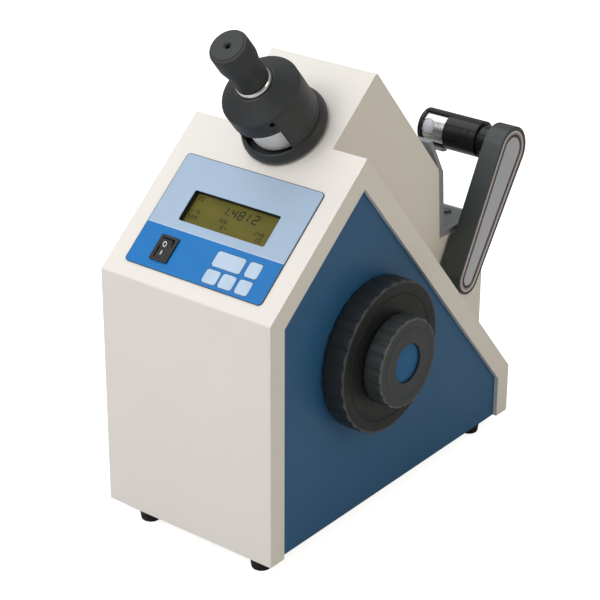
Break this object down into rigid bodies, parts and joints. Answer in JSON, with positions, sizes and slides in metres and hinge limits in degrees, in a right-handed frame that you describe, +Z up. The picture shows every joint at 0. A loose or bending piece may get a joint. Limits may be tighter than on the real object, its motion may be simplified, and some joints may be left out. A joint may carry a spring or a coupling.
{
  "type": "abbe refractometer",
  "caption": "Bench abbe refractometer with a sloping control panel, sighting telescope, side hand wheels, prism bracket and swinging lamp arm.",
  "frame": {"origin": "bottom centre of the bounding box, on the table", "axes": "+Z up, -Y towards the user and the sloping panel, +X towards the hand wheels"},
  "size_m": [0.216, 0.3788, 0.4374],
  "materials": {
    "cover_paint": "satin paint with a fine texture",
    "panel_paint": "satin paint",
    "plate_zinc": "zinc-coated sheet",
    "foot_rubber": "matt",
    "screw_steel": "plated",
    "face_plate": "two-tone printed film, satin",
    "display_glass": "clear, polished",
    "module_olive": "satin olive display in a black frame",
    "switch_black": "semi-gloss",
    "board_green": "solder resist",
    "black_anodised": "satin black anodised",
    "sleeve_chrome": "bright",
    "drum_silver": "satin",
    "frame_metal": "cast and machined",
    "bush_brass": "turned",
    "optical_glass": "polished",
    "sensor_black": "matt",
    "bracket_grey": "grey hammered paint",
    "prism_metal": "satin",
    "transformer_iron": "lacquered laminations",
    "inlet_black": "moulded",
    "wheel_black": "satin moulded",
    "shaft_steel": "turned",
    "disc_blue": "satin",
    "mirror_silver": "front-silvered",
    "eyecup_black": "satin moulded",
    "arm_black": "satin black paint",
    "inlay_grey": "satin printed plate",
    "tube_black": "gloss",
    "reflector_chrome": "bright",
    "lens_glass": "polished",
    "bulb_glass": "pale glass and metal cap",
    "key_blue": "satin moulded"
  },
  "bodies": {
    "case": {"case_cover": "cover_paint", "side_panel_left": "panel_paint", "side_panel_right": "panel_paint", "base_plate": "plate_zinc", "rubber_feet": "foot_rubber", "machine_screws": "screw_steel", "control_panel": "face_plate", "display_window": "display_glass", "display_module": "module_olive", "switch_housing": "switch_black", "keypad_board": "board_green", "telescope_base": "black_anodised", "telescope_collar": "black_anodised", "telescope_tube": "black_anodised", "objective_lens": "optical_glass", "crossline_glass": "optical_glass", "eyepiece_sleeve": "sleeve_chrome", "optical_frame": "frame_metal", "bearing_bushes": "bush_brass", "encoder_sensor": "sensor_black", "prism_bracket": "bracket_grey", "prism_block": "prism_metal", "measuring_prism": "optical_glass", "hose_nipples": "bush_brass", "lid_hinge_pin": "shaft_steel", "arm_pivot": "shaft_steel", "main_board": "board_green", "power_transformer": "transformer_iron", "power_inlet": "inlet_black"},
    "coarse_drive": {"coarse_knob": "wheel_black", "coarse_shaft": "shaft_steel", "encoder_disc": "sensor_black"},
    "fine_drive": {"fine_knob": "wheel_black", "fine_shaft": "shaft_steel", "knob_disc": "disc_blue"},
    "mirror_unit": {"sector_gear": "bush_brass", "mirror_axle": "shaft_steel", "mirror_holder": "frame_metal", "folding_mirror": "mirror_silver"},
    "drum": {"dispersion_drum": "drum_silver", "upper_compensator_prism": "optical_glass"},
    "lower_compensator": {"compensator_cell": "frame_metal", "lower_compensator_prism": "optical_glass"},
    "focus_cell": {"ocular_cell": "black_anodised", "eye_lens": "optical_glass"},
    "eyepiece": {"eyepiece_body": "eyecup_black"},
    "lid": {"prism_lid": "prism_metal", "illuminating_prism": "optical_glass"},
    "arm": {"lamp_arm": "arm_black", "arm_inlay": "inlay_grey"},
    "lamp": {"lamp_tube": "tube_black", "lamp_reflector": "reflector_chrome", "condenser_lens": "lens_glass", "lamp_bulb": "bulb_glass"},
    "rocker_paddle": {"rocker": "switch_black"},
    "button_1": {"key_1": "key_blue"},
    "button_2": {"key_2": "key_blue"},
    "button_3": {"key_3": "key_blue"},
    "button_4": {"key_4": "key_blue"},
    "button_5": {"key_5": "key_blue"}
  },
  "joints": [
    {"name": "coarse_turn", "type": "hinge", "parent": "case", "child": "coarse_drive", "pos_m": [0.077, -0.05243, 0.158], "axis": [1, 0, 0], "range_deg": [-100, 100]},
    {"name": "fine_turn", "type": "hinge", "parent": "case", "child": "fine_drive", "pos_m": [0.097, -0.05243, 0.158], "axis": [1, 0, 0], "range_deg": [-600, 600]},
    {"name": "mirror_tilt", "type": "hinge", "parent": "case", "child": "mirror_unit", "pos_m": [-0.015, 0.03378, 0.21435], "axis": [1, 0, 0], "range_deg": [-11, 11]},
    {"name": "drum_turn", "type": "hinge", "parent": "case", "child": "drum", "pos_m": [-0.015, -0.06074, 0.33969], "axis": [0, -0.6428, 0.766], "continuous": true},
    {"name": "compensator_turn", "type": "hinge", "parent": "case", "child": "lower_compensator", "pos_m": [-0.015, -0.06074, 0.33969], "axis": [0, -0.6428, 0.766], "continuous": true},
    {"name": "focus_slide", "type": "slide", "parent": "case", "child": "focus_cell", "axis": [0, -0.6428, 0.766], "range_m": [0, 0.004]},
    {"name": "eyepiece_turn", "type": "hinge", "parent": "focus_cell", "child": "eyepiece", "pos_m": [-0.015, -0.06074, 0.33969], "axis": [0, -0.6428, 0.766], "range_deg": [0, 300]},
    {"name": "lid_open", "type": "hinge", "parent": "case", "child": "lid", "pos_m": [-0.0484, 0.11357, 0.2413], "axis": [0, -1, 0], "range_deg": [0, 95]},
    {"name": "arm_swing", "type": "hinge", "parent": "case", "child": "arm", "pos_m": [0.05, 0.10517, 0.1668], "axis": [-1, 0, 0], "range_deg": [-10, 80]},
    {"name": "lamp_turn", "type": "hinge", "parent": "arm", "child": "lamp", "pos_m": [-0.002, 0.16893, 0.27292], "axis": [1, 0, 0], "range_deg": [-120, 120]},
    {"name": "rocker_tilt", "type": "hinge", "parent": "case", "child": "rocker_paddle", "pos_m": [-0.0588, -0.16347, 0.25218], "axis": [-1, 0, 0], "range_deg": [0, 18]},
    {"name": "press_1", "type": "slide", "parent": "case", "child": "button_1", "axis": [0, 0.6428, -0.766], "range_m": [0, 0.0006], "stiffness_N_per_m": 800},
    {"name": "press_2", "type": "slide", "parent": "case", "child": "button_2", "axis": [0, 0.6428, -0.766], "range_m": [0, 0.0006], "stiffness_N_per_m": 800},
    {"name": "press_3", "type": "slide", "parent": "case", "child": "button_3", "axis": [0, 0.6428, -0.766], "range_m": [0, 0.0006], "stiffness_N_per_m": 800},
    {"name": "press_4", "type": "slide", "parent": "case", "child": "button_4", "axis": [0, 0.6428, -0.766], "range_m": [0, 0.0006], "stiffness_N_per_m": 800},
    {"name": "press_5", "type": "slide", "parent": "case", "child": "button_5", "axis": [0, 0.6428, -0.766], "range_m": [0, 0.0006], "stiffness_N_per_m": 800}
  ],
  "couplings": [
    {"joint": "fine_turn", "follows": "coarse_turn", "ratio": 6},
    {"joint": "mirror_tilt", "follows": "coarse_turn", "ratio": -0.10753},
    {"joint": "compensator_turn", "follows": "drum_turn", "ratio": -1},
    {"joint": "focus_slide", "follows": "eyepiece_turn", "m_per_rad": 0.00076}
  ]
}
